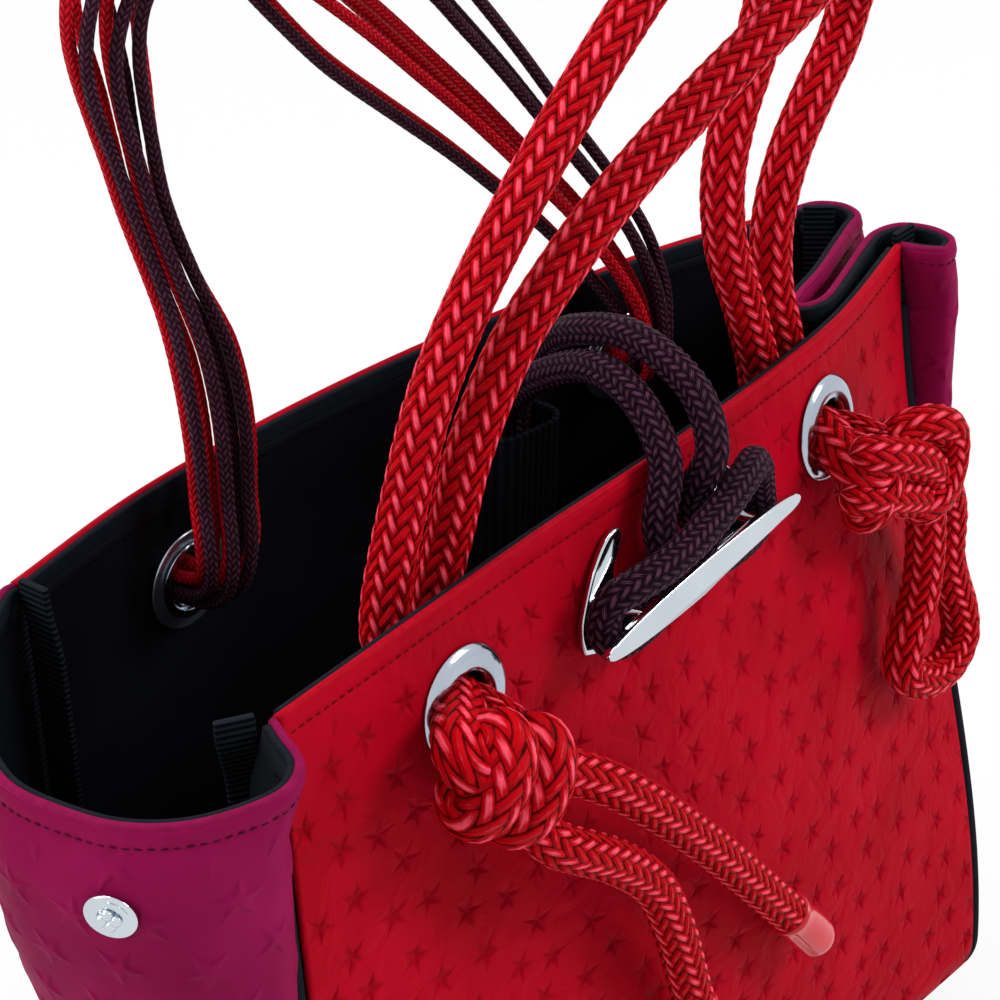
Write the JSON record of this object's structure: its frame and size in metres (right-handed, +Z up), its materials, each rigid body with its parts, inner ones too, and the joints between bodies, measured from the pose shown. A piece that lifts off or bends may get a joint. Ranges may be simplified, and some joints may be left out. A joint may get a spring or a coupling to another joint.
{
  "type": "mini tote bag",
  "caption": "Small open-top cloth tote bag with rope handles through eyelets, a snapped side gusset and a rope loop closed over a cleat.",
  "frame": {"origin": "centre of the flat bottom, on the surface that the bag stands on", "axes": "+Z up towards the handles, +X to the right along the bag, -Y out of the front panel with the cleat"},
  "size_m": [0.3454, 0.1499, 0.3992],
  "materials": {
    "red_cloth": "satin",
    "magenta_cloth": "satin",
    "navy_lining": "matt",
    "navy_tape": "matt",
    "chrome": "polished",
    "red_rope": "satin",
    "plum_rope": "satin",
    "red_plastic": "gloss"
  },
  "bodies": {
    "root": {"base_lining": "navy_lining", "base_panel": "red_cloth", "cleat": "chrome", "cleat_backing_plate": "navy_tape", "cleat_screw_left": "chrome", "cleat_screw_right": "chrome", "closure_rope": "plum_rope", "closure_rope_knot": "plum_rope", "closure_sleeve": "navy_tape", "front_left_binding": "navy_tape", "front_left_eyelet": "chrome", "front_left_eyelet_washer": "chrome", "front_left_knot": "red_rope", "front_lining": "navy_lining", "front_panel": "red_cloth", "front_right_binding": "navy_tape", "front_right_eyelet": "chrome", "front_right_eyelet_washer": "chrome", "front_right_knot": "red_rope", "front_rope_bight": "red_rope", "front_rope_strand_a": "red_rope", "front_rope_strand_b": "red_rope", "front_rope_tail_a": "red_rope", "front_rope_tail_b": "red_rope", "front_rope_tip_a": "red_plastic", "front_rope_tip_b": "red_plastic", "left_gusset": "magenta_cloth", "left_gusset_lining": "navy_lining", "left_piping": "navy_tape", "left_snap_socket": "chrome", "left_snap_socket_cap": "chrome", "left_snap_stud": "chrome", "left_snap_stud_cap": "chrome", "rear_cord_1": "plum_rope", "rear_cord_2": "red_rope", "rear_cord_3": "plum_rope", "rear_cord_4": "red_rope", "rear_cord_5": "red_rope", "rear_cord_6": "plum_rope", "rear_cord_7": "plum_rope", "rear_cord_8": "red_rope", "rear_left_binding": "navy_tape", "rear_left_eyelet": "chrome", "rear_left_eyelet_washer": "chrome", "rear_left_knot": "red_rope", "rear_lining": "navy_lining", "rear_panel": "red_cloth", "rear_right_binding": "navy_tape", "rear_right_eyelet": "chrome", "rear_right_eyelet_washer": "chrome", "rear_right_knot": "red_rope", "right_gusset": "magenta_cloth", "right_gusset_lining": "navy_lining", "right_piping": "navy_tape", "right_snap_socket": "chrome", "right_snap_socket_cap": "chrome", "right_snap_stud": "chrome", "right_snap_stud_cap": "chrome"}
  },
  "joints": []
}
